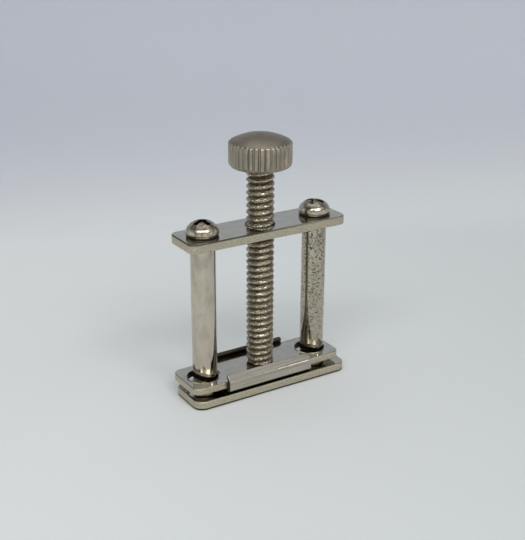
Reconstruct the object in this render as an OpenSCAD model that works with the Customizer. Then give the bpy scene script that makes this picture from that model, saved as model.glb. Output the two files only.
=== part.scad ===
// Screw compressor clamp for flexible tubing, with an open frame.
//
// A flat base bar carries two round pillars, and a flat bridge bar is screwed to their
// tops. A coarse thumb screw comes down through the bridge and turns in a jaw plate that
// slides on the pillars. A folded sheet clip wraps the jaw plate from below, and its flat
// floor is the face that presses the tube against the base.
//
// The underside of the base bar is on z = 0, the screw's axis is the Z axis, the bars run
// along X, and -Y is the front. Lengths are in millimetres.

/* [Base bar] */
// How far the base bar runs on past each pillar's middle
base_overhang = 5.4; // [3.5:0.1:10]
// Width of the base bar
base_w = 11; // [9:0.5:20]
// Thickness of the base bar
base_t = 2; // [1.5:0.1:4]
// Radius of the base bar's corners
base_corner_r = 2.4; // [0.5:0.1:4]
// How far the base bar's middle line stands in front of the pillars
base_forward = 1.15; // [0:0.05:1.5]

/* [Pillars] */
// Distance between the two pillars' axes
pillar_spacing = 28; // [25:0.5:60]
// Diameter of a pillar
pillar_d = 5.35; // [5:0.05:6]
// Clear height between the base bar and the bridge bar
frame_clear_h = 32.9; // [25:0.1:80]
// Diameter of the tenon that is riveted into the base bar
tenon_d = 3.2; // [2:0.1:4]
// Width that the tenon's riveted end is spread to
tenon_head_d = 4.6; // [4.2:0.1:6]

/* [Bridge bar] */
// How far the bridge bar runs on past each pillar's middle
bridge_overhang = 5.3; // [3.5:0.1:10]
// Width of the bridge bar
bridge_w = 9.9; // [8:0.1:20]
// Thickness of the bridge bar
bridge_t = 2; // [1.5:0.1:5]
// Radius of the bridge bar's corners
bridge_corner_r = 1.8; // [0.5:0.1:3.5]

/* [Post screws] */
// Diameter of the screw's shank
post_screw_d = 3.5; // [2.5:0.1:4]
// Length of the shank below the head
post_screw_len = 8; // [5:0.5:20]
// Diameter of the pan head
pan_d = 7; // [6:0.1:9]
// Height of the pan head's upright rim
pan_rim_h = 1.4; // [0.8:0.1:2]
// Height of the pan head's dome above its rim
pan_dome_h = 1.8; // [1:0.1:2.4]
// Width of the cross recess from wing tip to wing tip
recess_span = 4.2; // [3:0.1:5]
// Width of one wing of the cross recess
recess_wing_w = 0.95; // [0.6:0.05:1.3]
// Depth of the cross recess
recess_depth = 1.7; // [1:0.1:2]
// Direction in which the left screw's recess came to rest, from +X
left_screw_turn = 12; // [0:1:89]
// Direction in which the right screw's recess came to rest, from +X
right_screw_turn = 38; // [0:1:89]

/* [Thumb screw] */
// Outer diameter of the thread
thread_d = 6.05; // [5:0.05:8]
// Depth of the thread, from crest to root
thread_depth = 0.7; // [0.3:0.05:0.8]
// Rise of the thread in one turn
thread_pitch = 1.41; // [1:0.01:2]
// Direction in which the thread starts, from +X
thread_start = 98; // [0:1:359]
// Height of the knob's underside above the bridge bar, with the jaw closed
knob_lift = 12.65; // [5:0.05:30]
// Diameter of the plain neck that turns in the jaw plate
neck_d = 3.6; // [2.5:0.1:4]
// Diameter that the neck's end is spread to below the jaw plate
neck_head_d = 4.9; // [4.6:0.1:6]

/* [Knob] */
// Outer diameter of the knurled knob
knob_d = 13.4; // [10:0.1:25]
// Height of the knob's knurled rim
knob_rim_h = 5.25; // [3.5:0.05:12]
// Height of the knob's domed top above its rim
knob_dome_h = 1.85; // [0.8:0.05:4]
// Radius of the knob's rounded lower edge
knob_edge_r = 1.1; // [0.3:0.1:2]
// Number of knurl ridges round the rim
knurl_count = 36; // [20:1:60]
// Depth of the knurl's grooves
knurl_depth = 0.3; // [0.1:0.05:0.5]
// Diameter of the spigot that the knob is pressed on to
spigot_d = 4; // [2.5:0.1:4.4]
// Length of the spigot
spigot_len = 3.4; // [2:0.1:3.4]

/* [Jaw plate] */
// How far the jaw plate runs on past each pillar hole's middle
jaw_overhang = 4.8; // [4:0.05:10]
// Width of the jaw plate
jaw_w = 11; // [9:0.5:20]
// Thickness of the jaw plate
jaw_t = 1.6; // [1.2:0.1:3]
// Radius of the jaw plate's corners
jaw_corner_r = 2; // [0.5:0.1:4]

/* [Jaw clip] */
// Thickness of the clip's sheet
sheet_t = 0.75; // [0.4:0.05:1]
// Inside radius of the clip's folds
fold_r = 0.3; // [0.2:0.05:0.6]
// Length of the clip along the bars
clip_len = 21; // [16:0.1:21]
// How far the clip's middle stands to the left of the jaw plate's middle
clip_offset = 0.5; // [0:0.05:0.5]
// Gap between the edge of the jaw plate and the clip's side wall
clip_side_gap = 0.4; // [0.3:0.05:0.8]
// Height above the jaw plate at which the front lip starts to fold in
front_fold_rise = 0; // [-0.05:0.05:0.5]
// Angle through which the front lip is folded in from upright
front_lip_bend = 45; // [30:1:60]
// Length of the front lip past its fold
front_lip_len = 1.3; // [0.5:0.1:2]
// Height above the jaw plate at which the rear lip starts to fold in
rear_fold_rise = -0.2; // [-0.2:0.05:0.5]
// Angle through which the rear lip is folded in from upright
rear_lip_bend = 42; // [30:1:60]
// Length of the rear lip past its fold
rear_lip_len = 1.1; // [0.5:0.1:2]
// Radius of the lips' corners
lip_corner_r = 0.5; // [0.2:0.05:0.5]

/* [Fits] */
// Gap between the clip's floor and the base bar, with the jaw closed
rest_gap = 0.3; // [0.1:0.05:1]
// Gap round a pillar in the jaw plate's hole
slide_clear = 0.65; // [0.4:0.05:0.9]
// Gap left at the side where the jaw plate has moved over against the pillars
rub_gap = 0.1; // [0.1:0.05:0.3]
// Gap round the thread in the bridge bar
thread_clear = 0.08; // [0.03:0.01:0.1]
// Gap round the screw's neck and its spread end in the jaw plate
neck_clear = 0.08; // [0.03:0.01:0.1]
// Gap between the screw's shoulder and the jaw plate
shoulder_gap = 0.2; // [0.1:0.05:0.4]
// Gap round a post screw's shank in the bridge bar
bolt_clear = 0.1; // [0.05:0.05:0.3]
// Gap round pieces that are riveted, screwed or pressed together
seat_clear = 0.02; // [0.01:0.01:0.05]
// Width of the broken edge on the bars and the jaw plate
edge_break = 0.2; // [0.1:0.05:0.3]

/* [Hidden] */
$fn = 64;

nickel = "#a8a397";
dull_nickel = "#7c776b";

// heights, from the base bar up
clip_z = base_t + rest_gap;
jaw_z = clip_z + sheet_t;
jaw_top_z = jaw_z + jaw_t;
bridge_z = base_t + frame_clear_h;
bridge_top_z = bridge_z + bridge_t;
shoulder_z = jaw_top_z + shoulder_gap;
knob_z = bridge_top_z + knob_lift;

// centres of the clip's folds: how far out, and how high the lower ones are
clip_fold_y = jaw_w / 2 + clip_side_gap - fold_r;
clip_fold_z = clip_z + sheet_t + fold_r;

// the jaw stands over to the left, almost against the pillars
jaw_x = -(slide_clear - rub_gap);
clip_x = jaw_x - clip_offset;
pillar_hole_d = pillar_d + 2 * slide_clear;

thread_root_d = thread_d - 2 * thread_depth;
// straight sides of the thread's facets in one turn, and the turns that span the screw
thread_sides = 18;
thread_turns = ceil((knob_z - shoulder_z) / thread_pitch) + 2;
// one pitch of the thread: share of the pitch, and share of the depth
thread_form = [[0, 0], [0.16, 0.42], [0.39, 1], [0.61, 1], [0.84, 0.42]];
// one ridge and one groove of the knurl, as shares of their width together: where the ridge
// ends, and where the floor of the groove starts and ends
knurl_form = [0, 0.42, 0.6, 0.82];
// a cut runs this far past the face that it opens
past = 1;
// the arc of a rounded edge ends this far outside the faces beside it, and meets them at a slant
edge_out = 0.06;

// outline of a bar with round corners
module bar_outline(len, w, r) {
    square([len - 2 * r, w], center = true);
    square([len, w - 2 * r], center = true);
    for (sx = [-1, 1], sy = [-1, 1])
        translate([sx * (len / 2 - r), sy * (w / 2 - r)]) circle(r);
}

// lower edge of a bar, broken all round: it widens from the face up to the full outline
module broken_edge(len, w, r, e) {
    for (sx = [-1, 1], sy = [-1, 1])
        translate([sx * (len / 2 - r), sy * (w / 2 - r)]) cylinder(h = e, r1 = r - e, r2 = r);
    rotate([90, 0, 90]) linear_extrude(len - 2 * r, center = true)
        polygon([[e - w / 2, 0], [w / 2 - e, 0], [w / 2, e], [-w / 2, e]]);
    rotate([90, 0, 0]) linear_extrude(w - 2 * r, center = true)
        polygon([[e - len / 2, 0], [len / 2 - e, 0], [len / 2, e], [-len / 2, e]]);
}

// flat bar with round corners and broken edges, its lower face on z = 0
module bar(len, w, t, r, e = edge_break) {
    translate([0, 0, e]) linear_extrude(t - 2 * e) bar_outline(len, w, r);
    broken_edge(len, w, r, e);
    translate([0, 0, t]) mirror([0, 0, 1]) broken_edge(len, w, r, e);
}

// countersink that opens downwards: d_wide at z = 0, d_narrow at the height of its 45 degree slope
module flare(d_wide, d_narrow) {
    cylinder(h = (d_wide - d_narrow) / 2, d1 = d_wide, d2 = d_narrow);
}

module at_pillars() {
    for (side = [-1, 1]) translate([side * pillar_spacing / 2, 0, 0]) children();
}

module base_bar() {
    color(nickel) difference() {
        translate([0, -base_forward, 0])
            bar(pillar_spacing + 2 * base_overhang, base_w, base_t, base_corner_r);
        at_pillars() {
            translate([0, 0, -past]) cylinder(h = base_t + 2 * past, d = tenon_d + 2 * seat_clear);
            flare(tenon_head_d + 2 * seat_clear, tenon_d + 2 * seat_clear);
        }
    }
}

module pillar(side) {
    color(nickel) translate([side * pillar_spacing / 2, 0, 0]) difference() {
        union() {
            translate([0, 0, base_t]) cylinder(h = frame_clear_h, d = pillar_d);
            cylinder(h = base_t, d = tenon_d);
            flare(tenon_head_d, tenon_d);
        }
        translate([0, 0, bridge_top_z - post_screw_len - past])
            cylinder(h = post_screw_len + past, d = post_screw_d + 2 * seat_clear);
    }
}

module bridge_bar() {
    bore_d = thread_d + 2 * thread_clear;
    color(nickel) difference() {
        translate([0, 0, bridge_z])
            bar(pillar_spacing + 2 * bridge_overhang, bridge_w, bridge_t, bridge_corner_r);
        translate([0, 0, bridge_z - past]) cylinder(h = bridge_t + 2 * past, d = bore_d);
        // both mouths of the screw's hole are broken
        translate([0, 0, bridge_z]) flare(bore_d + 2 * edge_break, bore_d);
        translate([0, 0, bridge_top_z]) mirror([0, 0, 1]) flare(bore_d + 2 * edge_break, bore_d);
        at_pillars() translate([0, 0, bridge_z - past])
            cylinder(h = bridge_t + 2 * past, d = post_screw_d + 2 * bolt_clear);
    }
}

// pan head with its seat on z = 0: an upright rim and a dome that is part of a sphere
module pan_head() {
    sphere_r = (pow(pan_d / 2, 2) + pow(pan_dome_h, 2)) / (2 * pan_dome_h);
    intersection() {
        cylinder(h = pan_rim_h + pan_dome_h + past, d = pan_d);
        translate([0, 0, pan_rim_h + pan_dome_h - sphere_r]) sphere(sphere_r);
    }
}

// cross recess with its mouth on z = 0, cut downwards: four wings that taper inwards
module cross_recess() {
    intersection() {
        translate([0, 0, -recess_depth])
            cylinder(h = recess_depth + past, d1 = recess_wing_w,
                     d2 = recess_span + past * (recess_span - recess_wing_w) / recess_depth);
        for (turn = [0, 90]) rotate(turn)
            translate([-recess_span, -recess_wing_w / 2, -recess_depth])
                cube([2 * recess_span, recess_wing_w, recess_depth + past]);
    }
}

module post_screw(side, turn) {
    color(nickel) translate([side * pillar_spacing / 2, 0, bridge_top_z]) rotate(turn)
        difference() {
            union() {
                pan_head();
                translate([0, 0, -post_screw_len]) cylinder(h = post_screw_len, d = post_screw_d);
            }
            translate([0, 0, pan_rim_h + pan_dome_h]) cross_recess();
        }
}

// Right-hand thread as one closed body round its core, from z = 0 up. The form of one
// pitch is carried round in steps. Each step's last point is the first point of the step
// one turn later, and the two ends are ramps.
module thread_body(turns) {
    steps = thread_sides * turns;
    n = len(thread_form);
    function at(step, share, depth) =
        let (a = 360 * step / thread_sides, r = thread_root_d / 2 + depth * thread_depth)
        [r * cos(a), r * sin(a), (step / thread_sides + share) * thread_pitch];
    points = concat(
        [for (i = [0:steps + thread_sides], k = [0:n - 1]) at(i, thread_form[k][0], thread_form[k][1])],
        [[0, 0, 0], [0, 0, (turns + 1) * thread_pitch]]);
    low = len(points) - 2;
    high = len(points) - 1;
    // point k of step i, where point n is the start of the step one turn on
    function at_index(i, k) = k < n ? i * n + k : (i + thread_sides) * n;
    sides = [for (i = [0:steps - 1], k = [0:n - 1])
        each [[at_index(i, k), at_index(i, k + 1), at_index(i + 1, k + 1)],
              [at_index(i, k), at_index(i + 1, k + 1), at_index(i + 1, k)]]];
    ramps = [for (i = [0:thread_sides - 1])
        each [[low, at_index(i, 0), at_index(i + 1, 0)],
              [high, at_index(steps + i + 1, 0), at_index(steps + i, 0)]]];
    first_end = concat([low], [for (k = [n:-1:0]) at_index(0, k)]);
    last_end = concat([high], [for (k = [0:n]) at_index(steps, k)]);
    polyhedron(points, concat(sides, ramps, [first_end, last_end]));
}

module thumb_screw() {
    color(nickel) {
        intersection() {
            translate([0, 0, shoulder_z - thread_pitch]) rotate(thread_start)
                thread_body(thread_turns);
            translate([0, 0, shoulder_z]) cylinder(h = knob_z - shoulder_z, d = thread_d + past);
        }
        translate([0, 0, knob_z]) cylinder(h = spigot_len, d = spigot_d);
        translate([0, 0, jaw_z + neck_clear]) {
            cylinder(h = shoulder_z - jaw_z - neck_clear, d = neck_d);
            flare(neck_head_d, neck_d);
        }
    }
}

// outline of the knurled rim: ridges with flat tops and shallow flat-bottomed grooves
module knurl_outline() {
    polygon([for (i = [0:knurl_count - 1], k = [0:3])
        let (a = 360 / knurl_count * (i + knurl_form[k]), r = knob_d / 2 - (k < 2 ? 0 : knurl_depth))
        r * [cos(a), sin(a)]]);
}

module knob() {
    sphere_r = (pow(knob_d / 2, 2) + pow(knob_dome_h, 2)) / (2 * knob_dome_h);
    color(dull_nickel) translate([0, 0, knob_z]) difference() {
        intersection() {
            linear_extrude(knob_rim_h + knob_dome_h + past) knurl_outline();
            translate([0, 0, knob_rim_h + knob_dome_h - sphere_r]) sphere(sphere_r, $fn = 128);
        }
        // rounded lower edge
        rotate_extrude() translate([knob_d / 2 + edge_out - knob_edge_r, 0]) difference() {
            translate([0, -past]) square([knob_edge_r + past, knob_edge_r + past]);
            translate([0, knob_edge_r]) circle(knob_edge_r);
        }
        translate([0, 0, -past]) cylinder(h = spigot_len + seat_clear + past, d = spigot_d + 2 * seat_clear);
    }
}

module jaw_plate() {
    color(nickel) difference() {
        translate([jaw_x, 0, jaw_z])
            bar(pillar_spacing + 2 * jaw_overhang, jaw_w, jaw_t, jaw_corner_r);
        // the pillars' holes, both of their mouths broken
        for (side = [-1, 1]) translate([jaw_x + side * pillar_spacing / 2, 0, jaw_z]) {
            translate([0, 0, -past]) cylinder(h = jaw_t + 2 * past, d = pillar_hole_d);
            flare(pillar_hole_d + 2 * edge_break, pillar_hole_d);
            translate([0, 0, jaw_t]) mirror([0, 0, 1]) flare(pillar_hole_d + 2 * edge_break, pillar_hole_d);
        }
        translate([0, 0, jaw_z - past]) cylinder(h = jaw_t + 2 * past, d = neck_d + 2 * neck_clear);
        translate([0, 0, jaw_z]) flare(neck_head_d + 4 * neck_clear, neck_d + 2 * neck_clear);
    }
}

// section of the sheet where it is bent: part of a ring, from the +X direction through the angle
module fold(angle) {
    reach = fold_r + sheet_t + past;
    difference() {
        circle(fold_r + sheet_t);
        circle(fold_r);
        translate([-reach, -reach]) square([2 * reach, reach]);
        rotate(angle) translate([-reach, 0]) square([2 * reach, reach]);
    }
}

// section of one side of the clip, on +X with Y upwards: fold from the floor, upright wall,
// fold and lip
module side_section(fold_rise, lip_bend, lip_len) {
    wall_h = jaw_top_z + fold_rise - clip_fold_z;
    translate([clip_fold_y, clip_fold_z]) {
        mirror([0, 1]) fold(90);
        translate([fold_r, 0]) square([sheet_t, wall_h]);
        translate([0, wall_h]) {
            fold(lip_bend);
            rotate(lip_bend) translate([fold_r, 0]) square([sheet_t, lip_len]);
        }
    }
}

// what is cut away to round the corners of the lip on the rear side
module lip_corners(fold_rise, lip_bend, lip_len) {
    arc_x = clip_len / 2 + edge_out - lip_corner_r;
    arc_y = lip_len + edge_out - lip_corner_r;
    cut = lip_corner_r + past;
    translate([0, clip_fold_y, jaw_top_z + fold_rise]) rotate([90 + lip_bend, 0, 0])
        translate([0, 0, -fold_r - sheet_t - past]) linear_extrude(sheet_t + 2 * past)
            for (side = [-1, 1]) translate([side * arc_x, arc_y]) difference() {
                translate([side * cut / 2, cut / 2]) square(cut, center = true);
                circle(lip_corner_r);
            }
}

module jaw_clip() {
    color(nickel) translate([clip_x, 0, 0]) difference() {
        rotate([90, 0, 90]) linear_extrude(clip_len, center = true) {
            translate([-clip_fold_y, clip_z]) square([2 * clip_fold_y, sheet_t]);
            side_section(rear_fold_rise, rear_lip_bend, rear_lip_len);
            mirror([1, 0]) side_section(front_fold_rise, front_lip_bend, front_lip_len);
        }
        lip_corners(rear_fold_rise, rear_lip_bend, rear_lip_len);
        mirror([0, 1, 0]) lip_corners(front_fold_rise, front_lip_bend, front_lip_len);
        // the floor's ends are relieved in line with the jaw plate's holes
        for (side = [-1, 1])
            translate([clip_offset + side * pillar_spacing / 2, 0, clip_z - past])
                cylinder(h = sheet_t + 2 * past, d = pillar_hole_d);
    }
}

base_bar();
pillar(-1);  // pillar_left
pillar(1);  // pillar_right
bridge_bar();
post_screw(-1, left_screw_turn);  // post_screw_left
post_screw(1, right_screw_turn);  // post_screw_right
thumb_screw();
knob();
jaw_plate();
jaw_clip();
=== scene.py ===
"""A small screw clamp for laboratory tubing, standing closed on a pale table.

Its solids come packed from the construction model. Here each piece gets its broken edges,
its true profile and its plated finish. Everything is in metres, +Z up, -Y the front.
"""

from math import atan2, cos, hypot, pi, radians, sin, sqrt, tau
from random import Random

import bmesh
import bpy
from mathutils import Matrix, Vector


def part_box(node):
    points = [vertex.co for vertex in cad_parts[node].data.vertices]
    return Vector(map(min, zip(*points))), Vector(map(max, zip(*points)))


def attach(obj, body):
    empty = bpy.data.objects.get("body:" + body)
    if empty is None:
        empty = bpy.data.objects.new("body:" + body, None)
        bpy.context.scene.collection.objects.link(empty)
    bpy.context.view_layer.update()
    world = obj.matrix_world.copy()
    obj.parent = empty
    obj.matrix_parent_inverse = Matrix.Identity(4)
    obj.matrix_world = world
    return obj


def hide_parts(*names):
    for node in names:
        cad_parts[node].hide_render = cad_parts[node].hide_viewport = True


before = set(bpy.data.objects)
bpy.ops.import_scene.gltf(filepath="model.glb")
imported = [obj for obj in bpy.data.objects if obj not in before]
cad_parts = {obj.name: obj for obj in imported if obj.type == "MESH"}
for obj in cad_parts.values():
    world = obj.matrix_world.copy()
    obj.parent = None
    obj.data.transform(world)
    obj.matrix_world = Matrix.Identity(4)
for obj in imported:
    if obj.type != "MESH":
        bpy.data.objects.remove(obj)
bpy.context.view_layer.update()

# ---------------------------------------------------------------------------
# Camera: it stands in front of the clamp and to its left, and looks down a little.
# ---------------------------------------------------------------------------
camera_bearing = radians(-32.1)
camera_rise = radians(21.35)
camera_roll = radians(0.24)
camera_distance = 0.2168
camera_sensor_mm = 36
camera_lens_mm = 66.67
camera_aim = Vector((0.00046, -0.00029, 0.0263))

camera_back = Vector((sin(camera_bearing) * cos(camera_rise),
                      -cos(camera_bearing) * cos(camera_rise), sin(camera_rise)))
level_right = Vector((cos(camera_bearing), sin(camera_bearing), 0))
level_up = camera_back.cross(level_right)
camera_right = cos(camera_roll) * level_right + sin(camera_roll) * level_up
camera_up = camera_back.cross(camera_right)
bpy.ops.object.camera_add(location=camera_aim + camera_distance * camera_back)
camera = bpy.context.object
camera.name = "camera"
camera.rotation_euler = Matrix((camera_right, camera_up, camera_back)).transposed().to_euler()
camera.data.sensor_width = camera_sensor_mm
camera.data.lens = camera_lens_mm
camera.data.clip_start = 0.01
bpy.context.scene.camera = camera
bpy.context.scene.view_settings.view_transform = "Standard"


# ---------------------------------------------------------------------------
# Table and backdrop: one sheet of pale card, flat under the clamp and curved up behind it,
# square to the camera's bearing.
# ---------------------------------------------------------------------------
class Tone:
    """One output of a finish's node. Sums and products of it add the Math nodes."""

    def __init__(self, finish, socket):
        self.finish, self.socket = finish, socket

    def _math(self, operation, first, second):
        return self.finish.node("Math", {"operation": operation}, {0: first, 1: second})

    def __add__(self, other):
        return self._math("ADD", self, other)

    def __radd__(self, other):
        return self._math("ADD", other, self)

    def __sub__(self, other):
        return self._math("SUBTRACT", self, other)

    def __rsub__(self, other):
        return self._math("SUBTRACT", other, self)

    def __mul__(self, other):
        return self._math("MULTIPLY", self, other)

    def __rmul__(self, other):
        return self._math("MULTIPLY", other, self)

    def __pow__(self, other):
        return self._math("POWER", self, other)

    def __abs__(self):
        return self.finish.node("Math", {"operation": "ABSOLUTE"}, {0: self})


class Finish:
    """A material, put together from nodes. Patterns lie in the piece's own coordinates."""

    def __init__(self, name):
        self.material = bpy.data.materials.new(name)
        self.material.use_nodes = True
        self.tree = self.material.node_tree
        self.tree.nodes.clear()
        self.place = self.node("TexCoord", output="Object")

    def node(self, kind, settings=None, sockets=None, output=0):
        """A node of this kind: its settings first, then its sockets' values or links."""
        node = self.tree.nodes.new("ShaderNode" + kind)
        for name, value in (settings or {}).items():
            setattr(node, name, value)
        for name, value in (sockets or {}).items():
            if isinstance(value, Tone):
                self.tree.links.new(value.socket, node.inputs[name])
            else:
                node.inputs[name].default_value = value
        return Tone(self, node.outputs[output]) if node.outputs else None

    def along(self, axis, coordinates=None):
        """One coordinate of the piece, 0 to 2 for X to Z."""
        return self.node("SeparateXYZ", sockets={0: coordinates or self.place}, output=axis)

    def from_axis(self, x=0, y=0):
        """Distance from an upright axis through this place."""
        flat = self.node("VectorMath", {"operation": "MULTIPLY"}, {0: self.place, 1: (1, 1, 0)})
        return self.node("VectorMath", {"operation": "DISTANCE"}, {0: flat, 1: (x, y, 0)},
                         output="Value")

    def grain(self, size, stretch=(1, 1, 1), detail=2.0):
        """Noise about 0.5 whose specks are this size, drawn out along the stretched axes."""
        scale = tuple(1 / (size * s) for s in stretch)
        place = self.node("VectorMath", {"operation": "MULTIPLY"}, {0: self.place, 1: scale})
        return self.node("TexNoise", sockets={"Vector": place, "Scale": 1.0, "Detail": detail})

    def ramp(self, value, start, end):
        """A smooth step from 0 at the start to 1 at the end, which may be the lower of the two."""
        return self.node("MapRange", {"interpolation_type": "SMOOTHSTEP"},
                         {"Value": value, "From Min": start, "From Max": end})

    def blend(self, share, plain, other):
        """The plain colour, turning into the other one as the share goes from 0 to 1."""
        pair = [c if isinstance(c, Tone) else (*c, 1) for c in (plain, other)]
        return self.node("Mix", {"data_type": "RGBA"}, {0: share, 6: pair[0], 7: pair[1]},
                         output=2)

    def relief(self, height, depth):
        """A normal bent by the height, in which a step of 1 stands for this depth."""
        return self.node("Bump", sockets={"Height": height, "Distance": depth, "Strength": 1.0})

    def surface(self, **sockets):
        """The finished surface, from the Principled shader's sockets."""
        names = {name.replace("_", " ").title(): value for name, value in sockets.items()}
        shader = self.node("BsdfPrincipled", sockets=names)
        self.node("OutputMaterial", sockets={"Surface": shader})
        return self.material


def nothing_selected():
    """Leaves edit mode and deselects every object."""
    if bpy.context.mode != "OBJECT":
        bpy.ops.object.mode_set(mode="OBJECT")
    bpy.ops.object.select_all(action="DESELECT")


def begin(piece, name):
    """Names a fresh primitive, puts its place in its mesh and opens it for shaping."""
    piece.name = piece.data.name = name
    bpy.ops.object.transform_apply(location=True, rotation=True, scale=True)
    bpy.ops.object.mode_set(mode="EDIT")
    bpy.ops.mesh.select_mode(type="VERT")
    bpy.ops.mesh.select_all(action="SELECT")
    return piece


def choose(piece, kind, test):
    """Selects the vertices, edges or faces that pass the test, and nothing else."""
    bpy.ops.mesh.select_mode(type={"verts": "VERT", "edges": "EDGE", "faces": "FACE"}[kind])
    bpy.ops.mesh.select_all(action="DESELECT")
    mesh = bmesh.from_edit_mesh(piece.data)
    for part in getattr(mesh, kind):
        if test(part):
            part.select_set(True)
    mesh.select_flush_mode()
    bmesh.update_edit_mesh(piece.data)


card_half = 1.0
card_flat = 0.1
card_curve = 0.08
card_rise = 0.07
curve_steps = 16
# Painted light: a lit tone for the card's left and a shaded tone for its right.
card_painted_lit = (0.875, 0.905, 0.9)
card_painted_shaded = (0.725, 0.76, 0.755)
# Painted shade: a darker, bluer tone for the card's curved-up wall behind the clamp.
card_upright_painted_shade = (0.525, 0.545, 0.61)
card_fleck = (0.62, 0.66, 0.68)
shade_start = -0.09
shade_end = 0.12
upright_start = 0.097
upright_slant = 0.19
upright_end = 0.168

nothing_selected()
bpy.ops.mesh.primitive_plane_add(size=2 * card_half)
card = begin(bpy.context.object, "table_card")
choose(card, "edges", lambda e: all(v.co.y > 0.5 * card_half for v in e.verts))
bpy.ops.transform.translate(value=(0, card_flat - card_half, 0))
for step in range(curve_steps):
    here, there = (i * pi / 2 / curve_steps for i in (step, step + 1))
    bpy.ops.mesh.extrude_edges_move(TRANSFORM_OT_translate={"value": (
        0, card_curve * (sin(there) - sin(here)), card_curve * (cos(here) - cos(there)))})
bpy.ops.mesh.extrude_edges_move(TRANSFORM_OT_translate={"value": (0, 0, card_rise)})
bpy.ops.mesh.select_all(action="SELECT")
bpy.ops.transform.rotate(value=-camera_bearing, orient_axis="Z", center_override=(0, 0, 0))
bpy.ops.mesh.normals_make_consistent(inside=False)
nothing_selected()
card.select_set(True)
bpy.ops.object.shade_smooth()

card_finish = Finish("pale_card")
card_mottle = card_finish.grain(0.05, detail=3.0)
card_across = (cos(camera_bearing) * card_finish.along(0)
               + sin(camera_bearing) * card_finish.along(1))
card_depth = (cos(camera_bearing) * card_finish.along(1)
              - sin(camera_bearing) * card_finish.along(0))
# Painted shade: the curved-up wall is painted darker and bluer than the flat part.
card_wall_shade_share = card_finish.ramp(card_depth, upright_start + upright_slant * card_across, upright_end)
# Painted light: the card's colour goes from the lit tone to the shaded one, left to right.
card_painted_shade_share = card_finish.ramp(card_across, shade_start, shade_end)
card_colour = card_finish.blend(card_painted_shade_share, card_painted_lit, card_painted_shaded)
card_colour = card_finish.blend(card_wall_shade_share, card_colour, card_upright_painted_shade)
card_colour = card_finish.blend(0.15 * card_mottle, card_colour, card_fleck)
card.data.materials.append(card_finish.surface(
    base_color=card_colour, roughness=0.6 + 0.1 * card_mottle))

# ---------------------------------------------------------------------------
# Lamps: a wide soft box above the clamp's front and a bright one to its right, a dim one
# overhead and one at the side, a low narrow one that draws a line of light on the clip's fold,
# and a dim room, pale near the horizon.
# ---------------------------------------------------------------------------


def soft_box(name, bearing, rise, distance, size, brightness):
    """A rectangular lamp that faces the clamp. Its bearing and rise are in degrees, the
    bearing from the camera's own, and its brightness is that of its face."""
    turn = camera_bearing + radians(bearing)
    back = Vector((sin(turn) * cos(radians(rise)), -cos(turn) * cos(radians(rise)),
                   sin(radians(rise))))
    bpy.ops.object.light_add(type="AREA", location=camera_aim + distance * back,
                             rotation=back.to_track_quat("Z", "Y").to_euler())
    lamp = bpy.context.object
    lamp.name = name
    lamp.data.shape = "RECTANGLE"
    lamp.data.size, lamp.data.size_y = size
    lamp.data.energy = brightness * pi * size[0] * size[1]


soft_box("soft_box_front", -4, 50, 0.6, (0.6, 0.13), 6.0)
soft_box("soft_box_right", 43, 46, 0.7, (0.19, 0.16), 6.6)
soft_box("soft_box_overhead", 180, 78, 0.6, (0.6, 0.5), 0.68)
soft_box("soft_box_side", 78, 46, 0.7, (0.24, 0.3), 0.45)
soft_box("soft_box_narrow", 66, 12, 0.7, (0.05, 0.06), 10.0)

room = bpy.context.scene.world or bpy.data.worlds.new("room")
bpy.context.scene.world = room
room.use_nodes = True
room.node_tree.nodes.clear()
room_light = room.node_tree.nodes.new("ShaderNodeBackground")
room_out = room.node_tree.nodes.new("ShaderNodeOutputWorld")
room_ramp = room.node_tree.nodes.new("ShaderNodeMapRange")
room_split = room.node_tree.nodes.new("ShaderNodeSeparateXYZ")
room_place = room.node_tree.nodes.new("ShaderNodeTexCoord")
room_ramp.interpolation_type = "SMOOTHSTEP"
for socket, value in (("From Min", 0.05), ("From Max", 0.65), ("To Min", 0.8), ("To Max", 0.19)):
    room_ramp.inputs[socket].default_value = value
room_light.inputs["Color"].default_value = (0.96, 0.985, 1.0, 1)
for start, end in ((room_place.outputs["Generated"], room_split.inputs[0]),
                   (room_split.outputs["Z"], room_ramp.inputs["Value"]),
                   (room_ramp.outputs[0], room_light.inputs["Strength"]),
                   (room_light.outputs[0], room_out.inputs["Surface"])):
    room.node_tree.links.new(start, end)

# ---------------------------------------------------------------------------
# Base bar: a length of 2 mm nickel-plated steel strip with rounded corners. The pillars'
# tenons are riveted into its two countersunk holes from below.
# ---------------------------------------------------------------------------
pillar_boxes = [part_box("pillar_left"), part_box("pillar_right")]
pillar_places = [((low.x + high.x) / 2, (low.y + high.y) / 2) for low, high in pillar_boxes]
pillar_r = (pillar_boxes[0][1].x - pillar_boxes[0][0].x) / 2
same_place = 0.000001
cutter_spare = 0.001
sink_spare = 0.0001


def strip(name, node, corner_r):
    """Blank of a bar: a cube as large as the node's box, its upright edges rounded."""
    low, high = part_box(node)
    nothing_selected()
    bpy.ops.mesh.primitive_cube_add(size=1, location=(low + high) / 2, scale=high - low)
    bar = begin(bpy.context.object, name)
    choose(bar, "edges", lambda e: abs(e.verts[0].co.z - e.verts[1].co.z) > same_place)
    bpy.ops.mesh.bevel(offset=corner_r, offset_type="OFFSET", segments=12, affect="EDGES")
    nothing_selected()
    return bar


def take(piece):
    """Selects the piece, and nothing else, and makes it the active one."""
    nothing_selected()
    piece.select_set(True)
    bpy.context.view_layer.objects.active = piece


def finish_modifier(piece, name):
    """Applies the piece's modifier of this name."""
    take(piece)
    bpy.ops.object.modifier_apply(modifier=name)


def cut_away(piece, cutter):
    """Cuts the cutter's shape out of the piece and throws the cutter away."""
    boolean = piece.modifiers.new("cut", "BOOLEAN")
    boolean.operation = "DIFFERENCE"
    boolean.solver = "EXACT"
    boolean.object = cutter
    finish_modifier(piece, "cut")
    bpy.data.objects.remove(cutter)


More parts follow.
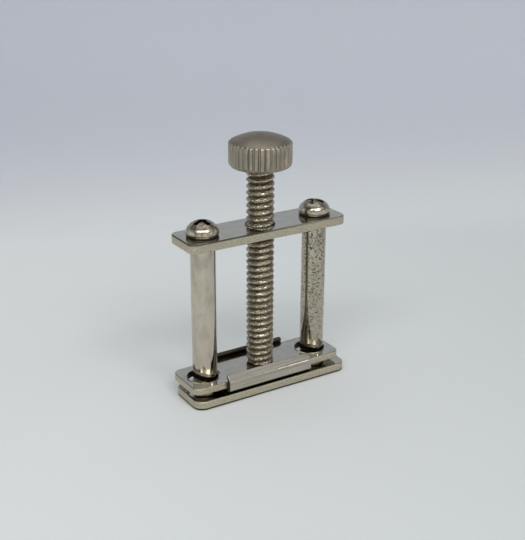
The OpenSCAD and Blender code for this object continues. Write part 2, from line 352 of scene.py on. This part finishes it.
def drill(piece, x, y, low, high, r_low, r_high=None, sides=96):
    """Cuts a round hole from one height to another, tapered if the radii differ."""
    nothing_selected()
    bpy.ops.mesh.primitive_cone_add(
        vertices=sides, radius1=r_low, radius2=r_low if r_high is None else r_high,
        depth=high - low, location=(x, y, (low + high) / 2))
    bpy.ops.object.transform_apply(location=True, rotation=True, scale=True)
    cut_away(piece, bpy.context.object)


def drill_through(piece, low, high, holes):
    """Cuts round holes through a strip between these corners, each a middle and a radius."""
    for x, y, r in holes:
        drill(piece, x, y, low.z - cutter_spare, high.z + cutter_spare, r)


def countersink(piece, x, y, face_z, sink_r, hole_r):
    """Opens a hole at its lower end, at 45 degrees, to the sink's radius at the face."""
    drill(piece, x, y, face_z - sink_spare, face_z + sink_r - hole_r, sink_r + sink_spare, hole_r)


def even_shading(piece):
    """Lets each large face keep its own shading right up to its rounded edges."""
    take(piece)
    bpy.ops.object.shade_smooth()
    shading = piece.modifiers.new("shading", "WEIGHTED_NORMAL")
    shading.mode = "FACE_AREA"
    shading.weight = 100
    finish_modifier(piece, "shading")


def break_edges(piece, width, segments=3, sharper_than=38):
    """Rounds the edges that are sharper than this angle, in degrees."""
    bevel = piece.modifiers.new("edges", "BEVEL")
    bevel.width = width
    bevel.segments = segments
    bevel.limit_method = "ANGLE"
    bevel.angle_limit = radians(sharper_than)
    bevel.use_clamp_overlap = True
    finish_modifier(piece, "edges")


face_bright = (0.56, 0.54, 0.46)
face_clouded = (0.5, 0.475, 0.4)
face_stain = (0.3, 0.26, 0.2)
sheared_bright = (0.59, 0.525, 0.405)
sheared_dark = (0.41, 0.36, 0.27)
# Painted shade: the tone that the walls of holes are painted.
hole_painted_shade = (0.13, 0.11, 0.085)
# A dark tone for painted shade: the contact shadow along a bar's foot and the dark line on its
# upper edges.
painted_dark = (0.05, 0.045, 0.035)
hole_blur = 0.00004
burr_width = 0.0007
burr_height = 22
contact_shadow_ragged = 0.0002
# Depths below a bar's top where the painted dark reflection line begins, is full, starts to fade
# and ends.
dark_line_depths = (0.00001, 0.00005, 0.00022, 0.00034)
dark_line_right = 0.012
dark_line_left = -0.003


def strip_nickel(name, stains, holes, contact_shadow_top=None, dark_line_top=None):
    """Bright nickel on rolled strip: smooth broad faces with fine scratches along the bar,
    sheared edges that are duller and mottled, and holes with a low burr round them, their walls
    painted dark as shade. Each hole is a middle and a radius. Below the contact shadow's top the
    strip is painted dark as a contact shadow, and just below the dark line's top its upper edges
    get a painted dark reflection line, darkest to the left."""
    nickel = Finish(name)
    upright = abs(nickel.along(2, nickel.node("TexCoord", output="Normal")))
    side = 1 - nickel.ramp(upright, 0.55, 0.9)
    clouds = nickel.grain(0.0022, detail=3.0)
    specks = nickel.grain(0.00035)
    scratches = nickel.grain(0.00012, stretch=(22, 1.2, 1))
    shear = nickel.grain(0.00022, stretch=(1, 1, 5))
    broad = nickel.blend(nickel.ramp(clouds, 0.35, 0.7), face_bright, face_clouded)
    broad = nickel.blend(stains * nickel.ramp(specks, 0.6, 0.72), broad, face_stain)
    edge = nickel.blend(nickel.ramp(specks, 0.35, 0.7), sheared_bright, sheared_dark)
    colour = nickel.blend(side, broad, edge)
    burr = 0
    for x, y, r in holes:
        away = nickel.from_axis(x, y)
        # Painted shade: each hole's wall is painted dark.
        colour = nickel.blend(nickel.ramp(away, r + hole_blur, r), colour, hole_painted_shade)
        burr = nickel.ramp(away, r + burr_width, r) + burr
    # Painted shadow: below this height, with a ragged top, the strip is painted dark as a contact
    # shadow.
    if contact_shadow_top:
        height = nickel.along(2) + contact_shadow_ragged * (specks - 0.5)
        colour = nickel.blend(nickel.ramp(height, contact_shadow_top, 0.7 * contact_shadow_top), colour, painted_dark)
    # Painted reflection: a dark line painted along the upper edges, just below the top, darkest to
    # the left.
    if dark_line_top:
        below = dark_line_top - nickel.along(2)
        begin_z, full_z, fade_z, end_z = dark_line_depths
        line = nickel.ramp(below, begin_z, full_z) * nickel.ramp(below, end_z, fade_z)
        leftward = nickel.ramp(nickel.along(0), dark_line_right, dark_line_left)
        colour = nickel.blend(line * (0.45 + 0.45 * leftward), colour, painted_dark)
    rough = (0.07 + 0.06 * nickel.ramp(scratches, 0.45, 0.7) + 0.04 * clouds
             + side * (0.2 + 0.15 * specks))
    bumps = ((1 - side) * (0.12 * scratches + 0.3 * clouds + burr_height * burr)
             + side * (0.8 * shear + 0.7 * specks))
    return nickel.surface(base_color=colour, metallic=1.0, roughness=rough,
                          normal=nickel.relief(bumps, 0.000012))


base_corner_r = 0.0024
base_edge = 0.0003
base_stains = 0.7
# Top of the contact shadow painted along the base bar's foot.
base_contact_shadow_top = 0.00055
tenon_hole_r = 0.00162
tenon_countersink_r = 0.00232

base_bar = strip("plated_base_bar", "base_bar", base_corner_r)
base_low, base_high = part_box("base_bar")
drill_through(base_bar, base_low, base_high, [(x, y, tenon_hole_r) for x, y in pillar_places])
break_edges(base_bar, base_edge)
for x, y in pillar_places:
    countersink(base_bar, x, y, base_low.z, tenon_countersink_r, tenon_hole_r)
even_shading(base_bar)
base_bar.data.materials.append(
    strip_nickel("base_bar_nickel", base_stains, [], contact_shadow_top=base_contact_shadow_top))
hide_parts("base_bar")
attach(base_bar, "frame")

# ---------------------------------------------------------------------------
# Bridge bar: the same strip, a little narrower. The thumb screw passes through its middle,
# and a post screw holds each end down on a pillar.
# ---------------------------------------------------------------------------
bridge_corner_r = 0.0018
bridge_edge = 0.0004
bridge_stains = 0.35
screw_hole_r = 0.00311
post_hole_r = 0.00185

bridge_bar = strip("plated_bridge_bar", "bridge_bar", bridge_corner_r)
bridge_low, bridge_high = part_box("bridge_bar")
bridge_holes = [(0, 0, screw_hole_r), *((x, y, post_hole_r) for x, y in pillar_places)]
drill_through(bridge_bar, bridge_low, bridge_high, bridge_holes)
break_edges(bridge_bar, bridge_edge)
even_shading(bridge_bar)
# The bridge's upper edges get the painted dark reflection line.
bridge_bar.data.materials.append(
    strip_nickel("bridge_bar_nickel", bridge_stains, bridge_holes, dark_line_top=bridge_high.z))
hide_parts("bridge_bar")
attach(bridge_bar, "frame")

# ---------------------------------------------------------------------------
# Pillars: two turned and plated steel rods. Each stands on a shoulder round its tenon,
# which is riveted below the base bar, and is tapped at the top for its post screw.
# ---------------------------------------------------------------------------


def turned(name, x, y, rings, sides=96):
    """A turned piece: a disc, extruded from ring to ring and scaled to each one's radius.
    Each ring is a radius and a height, and both ends are closed."""
    r, z = rings[0]
    nothing_selected()
    bpy.ops.mesh.primitive_circle_add(vertices=sides, radius=r, fill_type="NGON",
                                      location=(x, y, z))
    piece = begin(bpy.context.object, name)
    for next_r, next_z in rings[1:]:
        bpy.ops.mesh.extrude_region_move(TRANSFORM_OT_translate={"value": (0, 0, next_z - z)})
        bpy.ops.transform.resize(value=(next_r / r, next_r / r, 1),
                                 center_override=(x, y, next_z))
        r, z = next_r, next_z
    bpy.ops.mesh.select_all(action="SELECT")
    bpy.ops.mesh.normals_make_consistent(inside=False)
    nothing_selected()
    return piece


def smooth_over(piece, angle):
    """Smooth shading, sharp where the surface turns by more than this angle, in degrees."""
    take(piece)
    bpy.ops.object.shade_smooth_by_angle(angle=radians(angle))


rod_bright = (0.6, 0.54, 0.45)
rod_pitted = (0.53, 0.49, 0.4)
rod_clouded = (0.4, 0.35, 0.27)
rod_specks = (0.25, 0.215, 0.155)
pit_dark = (0.1, 0.08, 0.055)


def pillar_nickel(name, pitting):
    """Bright nickel on turned rod: faint rings from the lathe, scratches along the rod,
    small stains, and pits where the plating has failed, thickest in the upper part. The
    pitting is 0 for a sound rod and 1 for a pitted one."""
    nickel = Finish(name)
    clouds = nickel.grain(0.0015, stretch=(1, 1, 2.5), detail=3.0)
    scratches = nickel.grain(0.00014, stretch=(1, 1, 16))
    rings = nickel.grain(0.0001, stretch=(30, 30, 1), detail=1.0)
    specks = nickel.grain(0.00026, stretch=(1, 1, 1.6))
    upper = nickel.ramp(nickel.along(2), 0.008, 0.03)
    pit_level = 0.68 - 0.12 * pitting
    pit_share = pitting * (0.5 + 0.5 * upper) + 0.25 * (1 - pitting)
    pits = nickel.ramp(nickel.grain(0.00042), pit_level, pit_level + 0.05) * pit_share
    colour = nickel.blend(0.5 * nickel.ramp(clouds, 0.4, 0.7),
                          rod_pitted if pitting else rod_bright, rod_clouded)
    colour = nickel.blend((0.1 + 0.5 * pitting) * nickel.ramp(specks, 0.48, 0.66), colour,
                          rod_specks)
    colour = nickel.blend(pits, colour, pit_dark)
    rough = 0.09 + 0.12 * nickel.ramp(clouds, 0.45, 0.75) + 0.25 * pits + 0.05 * scratches
    bumps = 0.3 * scratches + 0.12 * rings + 0.35 * clouds - 1.2 * pits
    return nickel.surface(base_color=colour, metallic=1.0, roughness=rough,
                          normal=nickel.relief(bumps, 0.00001))


tenon_r = 0.0016
tenon_head_r = 0.0023
pillar_edge = 0.00015
edge_rounding = ((1, 0), (0.3, 0.3), (0, 1))
tapped_r = 0.00177
tapped_depth = 0.006

for side, (x, y), (foot, top) in zip(("left", "right"), pillar_places, pillar_boxes):
    shoulder_z = base_high.z
    rings = [(tenon_head_r, foot.z), (tenon_r, foot.z + tenon_head_r - tenon_r),
             (tenon_r, shoulder_z)]
    rings += [(pillar_r - inward * pillar_edge, shoulder_z + upward * pillar_edge)
              for inward, upward in edge_rounding]
    rings += [(pillar_r, (shoulder_z + top.z) / 2)]
    rings += [(pillar_r - inward * pillar_edge, top.z - downward * pillar_edge)
              for inward, downward in reversed(edge_rounding)]
    rings += [(tapped_r, top.z), (tapped_r, top.z - tapped_depth)]
    pillar = turned(f"turned_pillar_{side}", x, y, rings)
    smooth_over(pillar, 40)
    pillar.data.materials.append(pillar_nickel(f"pillar_{side}_nickel", 0 if side == "left" else 1))
    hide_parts(f"pillar_{side}")
    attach(pillar, "frame")

# ---------------------------------------------------------------------------
# Post screws: bright plated pan-head machine screws with a cross recess. The head is a low
# dome that tucks in below its widest line, and sits on the bridge bar.
# ---------------------------------------------------------------------------
pan_r = (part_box("post_screw_left")[1].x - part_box("post_screw_left")[0].x) / 2
pan_foot_r = 0.0031
pan_widest = 0.00075
pan_top = 0.0032
foot_angles = [radians(a) for a in range(20, 90, 20)]
dome_angles = [radians(7.5 * i) for i in range(12)]
shank_r = 0.00175
recess_span = 0.0054
recess_wing = 0.00115
recess_depth = 0.0017
recess_spare = 0.0004
recess_floor = (0.5, 0.85, 1)
recess_turns = {"left": 14, "right": 38}

pan_bright = (0.57, 0.52, 0.42)
pan_clouded = (0.27, 0.235, 0.18)
pan_worn = (0.2, 0.17, 0.13)
# Painted shadow: the dark tone of the ring round the head's foot.
seat_painted_shadow = (0.1, 0.085, 0.06)
# Painted shade: the tone of the inside of the cross recess.
recess_painted_shade = (0.06, 0.05, 0.035)

pan_nickel = Finish("pan_head_nickel")
pan_clouds = pan_nickel.grain(0.0008, detail=3.0)
pan_rings = pan_nickel.grain(0.00016)
pan_chafing = pan_nickel.grain(0.0006, detail=3.0)
pan_height = pan_nickel.along(2) - bridge_high.z
# Painted shadow: a dark ring round the head's foot, where it sits on the bridge bar.
pan_seat_shadow = 1 - pan_nickel.ramp(pan_height + 0.0003 * (pan_clouds - 0.5), 0.0001, 0.0007)
pan_wear = pan_nickel.ramp(pan_height + 0.0012 * (pan_chafing - 0.5),
                           pan_top - 0.0009, pan_top - 0.0001)
pan_x = abs(pan_nickel.along(0)) - pillar_places[1][0]
pan_y = pan_nickel.along(1)
pan_out = (pan_x * pan_x + pan_y * pan_y) * (1 / pan_r ** 2)
pan_dome = pan_widest + (pan_top - pan_widest) * (1 - pan_out) ** 0.5
# Painted shade: the cross recess, which lies below the dome's surface, is painted dark.
pan_sunk = pan_nickel.ramp(pan_dome - pan_height, 0.0001, 0.0003)
pan_colour = pan_nickel.blend(pan_nickel.ramp(pan_clouds, 0.4, 0.7), pan_bright, pan_clouded)
pan_colour = pan_nickel.blend(0.9 * pan_seat_shadow, pan_colour, seat_painted_shadow)
pan_colour = pan_nickel.blend(0.55 * pan_wear, pan_colour, pan_worn)
pan_colour = pan_nickel.blend(0.85 * pan_sunk * (1 - pan_seat_shadow), pan_colour, recess_painted_shade)
pan_bumps = 0.8 * pan_clouds + 0.3 * pan_rings + 2.5 * pan_wear * pan_clouds
pan_nickel.surface(base_color=pan_colour, metallic=1.0,
                   roughness=0.13 + 0.14 * pan_clouds + 0.2 * pan_seat_shadow,
                   normal=pan_nickel.relief(pan_bumps, 0.00004))

for side, (x, y) in zip(("left", "right"), pillar_places):
    seat_z = bridge_high.z
    shank_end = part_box(f"post_screw_{side}")[0]
    rings = [(shank_r, shank_end.z), (shank_r, seat_z), (pan_foot_r, seat_z)]
    rings += [(pan_foot_r + (pan_r - pan_foot_r) * sin(a), seat_z + pan_widest * (1 - cos(a)))
              for a in foot_angles]
    rings += [(pan_r * cos(a), seat_z + pan_widest + (pan_top - pan_widest) * sin(a))
              for a in dome_angles]
    head = turned(f"pan_head_{side}", x, y, rings)
    for turn in (0, 90):
        nothing_selected()
        bpy.ops.mesh.primitive_cube_add(
            size=1, location=(x, y, seat_z + pan_top + (recess_spare - recess_depth) / 2),
            scale=(recess_span, recess_wing, recess_depth + recess_spare))
        wing = begin(bpy.context.object, "recess_wing")
        choose(wing, "faces", lambda f: f.normal.z < -0.5)
        bpy.ops.transform.resize(value=recess_floor, center_override=(x, y, seat_z))
        bpy.ops.mesh.select_all(action="SELECT")
        bpy.ops.transform.rotate(value=-radians(recess_turns[side] + turn), orient_axis="Z",
                                 center_override=(x, y, seat_z))
        cut_away(head, wing)
    smooth_over(head, 30)
    head.data.materials.append(pan_nickel.material)
    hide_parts(f"post_screw_{side}")
    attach(head, "frame")

# ---------------------------------------------------------------------------
# Thumb screw: a steel rod with a coarse rolled thread, right-hand, its crests rounded and
# its roots narrow and dark. A plain neck below the shoulder turns in the jaw plate, and its
# end is spread to hold the plate on.
# ---------------------------------------------------------------------------
thread_r = 0.003025
thread_depth = 0.0007
thread_pitch = 0.00141
thread_azimuth = radians(98)
crest_power = 1.2
crest_steps = 12
turn_steps = 60
weld_gap = 0.000002
screw_shoulder = 0.00485
neck_r = 0.0018
neck_end_r = 0.00245
spigot_r = 0.002

screw_low, screw_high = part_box("thumb_screw")
knob_low, knob_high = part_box("knob")
root_r = thread_r - thread_depth


def crest(share):
    """Radius of the thread at this share of one pitch: a round crest and a narrow root."""
    return root_r + thread_depth * sin(pi * share) ** crest_power


thread_outward = Vector((cos(thread_azimuth), sin(thread_azimuth), 0))
thread_points = []
for i in range(crest_steps + 1):
    share = (1 - cos(pi * i / crest_steps)) / 2
    height = Vector((0, 0, screw_shoulder + (share - 1) * thread_pitch))
    thread_points.append(crest(share) * thread_outward + height)
# The sweep starts one turn below the shoulder and runs past the knob, and is then cut to length.
thread_turns = int((knob_low.z - screw_shoulder) / thread_pitch) + 3

nothing_selected()
# A small plane, merged to one point, is the point that the thread's profile is drawn from.
bpy.ops.mesh.primitive_plane_add(size=0.0001, location=thread_points[0])
thumb_screw = begin(bpy.context.object, "rolled_thumb_screw")
bpy.ops.mesh.merge(type="CENTER")
for here, there in zip(thread_points, thread_points[1:]):
    bpy.ops.mesh.extrude_vertices_move(TRANSFORM_OT_translate={"value": there - here})
nothing_selected()
helix = thumb_screw.modifiers.new("helix", "SCREW")
helix.axis = "Z"
helix.angle = tau
helix.screw_offset = thread_pitch
helix.iterations = thread_turns
helix.steps = helix.render_steps = turn_steps
finish_modifier(thumb_screw, "helix")
bpy.ops.object.mode_set(mode="EDIT")
bpy.ops.mesh.select_all(action="SELECT")
bpy.ops.mesh.remove_doubles(threshold=weld_gap)
bpy.ops.mesh.bisect(plane_co=(0, 0, screw_shoulder), plane_no=(0, 0, 1), use_fill=True,
                    clear_inner=True)
bpy.ops.mesh.select_all(action="SELECT")
bpy.ops.mesh.bisect(plane_co=(0, 0, knob_low.z), plane_no=(0, 0, 1), use_fill=True,
                    clear_outer=True)
bpy.ops.mesh.select_all(action="SELECT")
bpy.ops.mesh.normals_make_consistent(inside=False)
nothing_selected()
neck = turned("neck", 0, 0, [(neck_end_r, screw_low.z),
                             (neck_r, screw_low.z + neck_end_r - neck_r), (neck_r, screw_shoulder)])
spigot = turned("spigot", 0, 0, [(spigot_r, knob_low.z), (spigot_r, screw_high.z)])
nothing_selected()
for part in (neck, spigot, thumb_screw):
    part.select_set(True)
bpy.context.view_layer.objects.active = thumb_screw
bpy.ops.object.join()
smooth_over(thumb_screw, 50)

thread_dull = (0.3, 0.255, 0.18)
thread_bright = (0.6, 0.55, 0.435)
thread_root = (0.2, 0.165, 0.115)
thread_stain = (0.3, 0.25, 0.175)

screw_nickel = Finish("screw_nickel")
screw_nicks = screw_nickel.grain(0.0004, stretch=(1.8, 1.8, 0.9))
screw_dents = screw_nickel.ramp(screw_nicks, 0.4, 0.6)
screw_clouds = screw_nickel.grain(0.0016, detail=3.0)
screw_grit = screw_nickel.grain(0.00013)
screw_crest = screw_nickel.ramp(screw_nickel.from_axis() + 0.0002 * (screw_nicks - 0.5),
                                root_r + 0.00012, thread_r - 0.00006)
screw_colour = screw_nickel.blend(screw_dents, thread_dull, thread_bright)
screw_colour = screw_nickel.blend(screw_crest, thread_root, screw_colour)
screw_colour = screw_nickel.blend(0.4 * screw_nickel.ramp(screw_clouds, 0.5, 0.75), screw_colour,
                                  thread_stain)
screw_nickel.surface(
    base_color=screw_colour, metallic=1.0,
    roughness=0.36 - 0.18 * screw_dents + 0.12 * (1 - screw_crest),
    normal=screw_nickel.relief(screw_dents + 0.5 * screw_grit, 0.00008))
thumb_screw.data.materials.append(screw_nickel.material)
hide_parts("thumb_screw")
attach(thumb_screw, "screw")

# ---------------------------------------------------------------------------
# Knob: a solid knob with a low domed top and a coarse straight knurl, pressed on to the
# screw's spigot. Its plating has gone dull and brownish, with rubbed ridges.
# ---------------------------------------------------------------------------
ridges = 36
ridge_points = 8
knurl_depth = 0.0003
knurl_edge = 0.00006
# A groove is this share of a ridge's pitch wide, and cuts what lies beyond this share of the
# radius. Both its place and its depth are a little uneven.
groove_share = 0.34
groove_reach = 0.955
place_scatter = 0.05
depth_scatter = 0.15
knob_dome = 0.00185
knob_edge_r = 0.0011
socket_r = spigot_r + 0.00002
socket_depth = 0.003
dome_rings = (0.00635, 0.006, 0.0052, 0.0042, 0.0032, 0.0022, 0.0012, 0.0004)

knob_r = max(knob_high.x - knob_low.x, knob_high.y - knob_low.y) / 2
rim_top = knob_high.z - knob_dome
dome_r = (knob_r ** 2 + knob_dome ** 2) / (2 * knob_dome)
dome_middle = knob_high.z - dome_r


def dome_z(r):
    """Height of the dome's surface at this distance from the axis."""
    return dome_middle + sqrt(dome_r ** 2 - r ** 2)


def groove_from(start):
    """A test for the rim's vertices in the groove that begins here, counted in ridges."""
    def in_groove(v):
        past = (atan2(v.co.y, v.co.x) / tau * ridges - start) % ridges
        on_rim = hypot(v.co.x, v.co.y) > groove_reach * knob_r
        return on_rim and (past < groove_share or past > ridges - 0.01)

    return in_groove


knob_rings = [(socket_r, knob_low.z + socket_depth), (socket_r, knob_low.z)]
knob_rings += [(knob_r - knob_edge_r * (1 - sin(a)), knob_low.z + knob_edge_r * (1 - cos(a)))
               for a in (radians(i) for i in range(0, 91, 18))]
knob_rings += [(knob_r, knob_low.z + 0.55 * (rim_top - knob_low.z)),
               (knob_r, rim_top - 0.00022), (knob_r - 0.00008, rim_top - 0.00006)]
knob_rings += [(r, dome_z(r)) for r in dome_rings]
knob = turned("knurled_knob", 0, 0, knob_rings, sides=ridges * ridge_points)
knob_random = Random(7)
take(knob)
bpy.ops.object.mode_set(mode="EDIT")
for ridge in range(ridges):
    start = ridge + 0.5 + knob_random.uniform(-place_scatter, place_scatter)
    depth = knurl_depth * knob_random.uniform(1 - depth_scatter, 1 + depth_scatter)
    scale = (knob_r - depth) / knob_r
    choose(knob, "verts", groove_from(start))
    bpy.ops.transform.resize(value=(scale, scale, 1), center_override=(0, 0, rim_top))
nothing_selected()
break_edges(knob, knurl_edge, segments=2, sharper_than=30)
even_shading(knob)

knob_brown = (0.355, 0.3, 0.24)
knob_grey = (0.29, 0.27, 0.215)
knob_speck = (0.24, 0.205, 0.155)
ridge_bright = (0.55, 0.49, 0.395)

knob_nickel = Finish("knob_nickel")
knob_clouds = knob_nickel.grain(0.0024, detail=4.0)
knob_specks = knob_nickel.grain(0.00028, detail=3.0)
knob_strips = knob_nickel.grain(0.0011, stretch=(1, 1, 6))
knob_rubbed = knob_nickel.ramp(knob_nickel.from_axis(), knob_r - 0.0002, knob_r - 0.00004)
knob_wear = knob_rubbed * (0.15 + 0.7 * knob_nickel.ramp(knob_strips, 0.5, 0.7))
knob_colour = knob_nickel.blend(knob_nickel.ramp(knob_clouds, 0.4, 0.62), knob_brown, knob_grey)
knob_colour = knob_nickel.blend(0.6 * knob_nickel.ramp(knob_specks, 0.52, 0.7), knob_colour,
                                knob_speck)
knob_colour = knob_nickel.blend(knob_wear, knob_colour, ridge_bright)
knob_nickel.surface(
    base_color=knob_colour, metallic=1.0,
    roughness=0.36 + 0.12 * knob_clouds - 0.1 * knob_rubbed,
    normal=knob_nickel.relief(0.7 * knob_specks + 0.5 * knob_clouds, 0.00002))
knob.data.materials.append(knob_nickel.material)
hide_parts("knob")
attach(knob, "screw")

# ---------------------------------------------------------------------------
# Jaw plate: a thinner strip that slides on the pillars in two wide holes. The thumb
# screw's neck turns in its middle.
# ---------------------------------------------------------------------------
jaw_corner_r = 0.002
jaw_edge = 0.00026
jaw_clearance = 0.00065
neck_hole_r = 0.00188
neck_sink_r = 0.00261
jaw_stains = 0.4

jaw_plate = strip("plated_jaw_plate", "jaw_plate", jaw_corner_r)
jaw_low, jaw_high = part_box("jaw_plate")
jaw_middle = (jaw_low.x + jaw_high.x) / 2
jaw_hole_r = pillar_r + jaw_clearance
jaw_holes = [(jaw_middle + x, y, jaw_hole_r) for x, y in pillar_places]
drill_through(jaw_plate, jaw_low, jaw_high, [(0, 0, neck_hole_r), *jaw_holes])
break_edges(jaw_plate, jaw_edge)
countersink(jaw_plate, 0, 0, jaw_low.z, neck_sink_r, neck_hole_r)
even_shading(jaw_plate)
jaw_plate.data.materials.append(strip_nickel("jaw_plate_nickel", jaw_stains, jaw_holes))
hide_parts("jaw_plate")
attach(jaw_plate, "jaw")

# ---------------------------------------------------------------------------
# Jaw clip: thin plated sheet, folded up round the jaw plate from below. Its floor presses
# the tube, and its two lips fold in over the plate's front and rear edges.
# ---------------------------------------------------------------------------
sheet_t = 0.00075
sheet_edge = 0.00009
fold_middle_r = 0.0003 + sheet_t / 2
fold_steps = 6
# Each lip, the front one at -1 and the rear one at 1: its bend, its length, where it bends.
clip_lips = {-1: (radians(45), 0.0013, jaw_high.z), 1: (radians(42), 0.0011, jaw_high.z - 0.0002)}
# The corners of the lips, rounder at the right end.
lip_corner_r = {-1: 0.0005, 1: 0.001}

clip_low, clip_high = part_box("jaw_clip")
clip_len = clip_high.x - clip_low.x
clip_middle = (clip_high.x + clip_low.x) / 2
floor_z = clip_low.z + sheet_t / 2
fold_y = clip_high.y - sheet_t / 2 - fold_middle_r
fold_z = floor_z + fold_middle_r

nothing_selected()
bpy.ops.mesh.primitive_plane_add(size=1, location=(clip_middle, 0, floor_z))
bpy.context.object.scale = (clip_len, 2 * fold_y, 1)
clip = begin(bpy.context.object, "folded_jaw_clip")
for side, (lip_bend, lip_len, lip_z) in clip_lips.items():
    path = [(fold_y + fold_middle_r * sin(a), fold_z - fold_middle_r * cos(a))
            for a in (pi / 2 * i / fold_steps for i in range(fold_steps + 1))]
    path += [(fold_y + fold_middle_r * cos(a), lip_z + fold_middle_r * sin(a))
             for a in (lip_bend * i / fold_steps for i in range(fold_steps + 1))]
    path.append((path[-1][0] - lip_len * sin(lip_bend), path[-1][1] + lip_len * cos(lip_bend)))
    choose(clip, "edges", lambda e: all(side * v.co.y > fold_y - same_place for v in e.verts))
    for here, there in zip(path, path[1:]):
        bpy.ops.mesh.extrude_edges_move(TRANSFORM_OT_translate={
            "value": (0, side * (there[0] - here[0]), there[1] - here[1])})
    lip_top = path[-1][1]
    for end, corner_r in lip_corner_r.items():
        choose(clip, "verts", lambda v: side * v.co.y > 0 and abs(v.co.z - lip_top) < same_place
               and end * (v.co.x - clip_middle) > clip_len / 2 - same_place)
        bpy.ops.mesh.bevel(offset=corner_r, offset_type="OFFSET", segments=6, affect="VERTICES")
bpy.ops.mesh.select_all(action="SELECT")
bpy.ops.mesh.normals_make_consistent(inside=False)
nothing_selected()
wall = clip.modifiers.new("sheet", "SOLIDIFY")
wall.thickness = sheet_t
wall.offset = 0
wall.use_even_offset = True
finish_modifier(clip, "sheet")
for x, y, r in jaw_holes:
    drill(clip, x, y, clip_low.z - cutter_spare, fold_z, r)
break_edges(clip, sheet_edge, segments=2)
even_shading(clip)

clip_bright = (0.52, 0.48, 0.415)
clip_banded = (0.41, 0.375, 0.315)
clip_stain = (0.4, 0.35, 0.27)
# Painted shade: the tone of the sheet's inward faces and its ends.
clip_painted_shade = (0.1, 0.085, 0.065)

clip_nickel = Finish("clip_nickel")
clip_brushed = clip_nickel.grain(0.00013, stretch=(40, 1, 1))
clip_bands = clip_nickel.grain(0.0005, stretch=(25, 1, 1))
clip_clouds = clip_nickel.grain(0.0015, detail=3.0)
clip_facing = clip_nickel.node("TexCoord", output="Normal")
# Painted shade: faces looking in toward the jaw plate, and the end faces, are painted dark as the
# shade under the lips and at the ends.
clip_inside = clip_nickel.ramp(clip_nickel.along(1) * clip_nickel.along(1, clip_facing),
                               -0.0008, -0.0018)
clip_end = clip_nickel.ramp(clip_nickel.along(0, clip_facing) ** 2, 0.35, 0.75)
clip_shade_share = clip_nickel.node("Math", {"operation": "MAXIMUM"}, {0: clip_inside, 1: clip_end})
clip_colour = clip_nickel.blend(clip_nickel.ramp(clip_bands, 0.35, 0.65), clip_bright, clip_banded)
clip_colour = clip_nickel.blend(0.3 * clip_nickel.ramp(clip_clouds, 0.55, 0.75), clip_colour,
                                clip_stain)
clip_colour = clip_nickel.blend(clip_shade_share, clip_colour, clip_painted_shade)
clip_nickel.surface(
    base_color=clip_colour, metallic=1.0,
    roughness=0.15 + 0.14 * clip_bands + 0.05 * clip_brushed + 0.2 * clip_shade_share,
    normal=clip_nickel.relief(0.8 * clip_bands + 0.35 * clip_brushed, 0.00002))
clip.data.materials.append(clip_nickel.material)
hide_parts("jaw_clip")
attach(clip, "jaw")
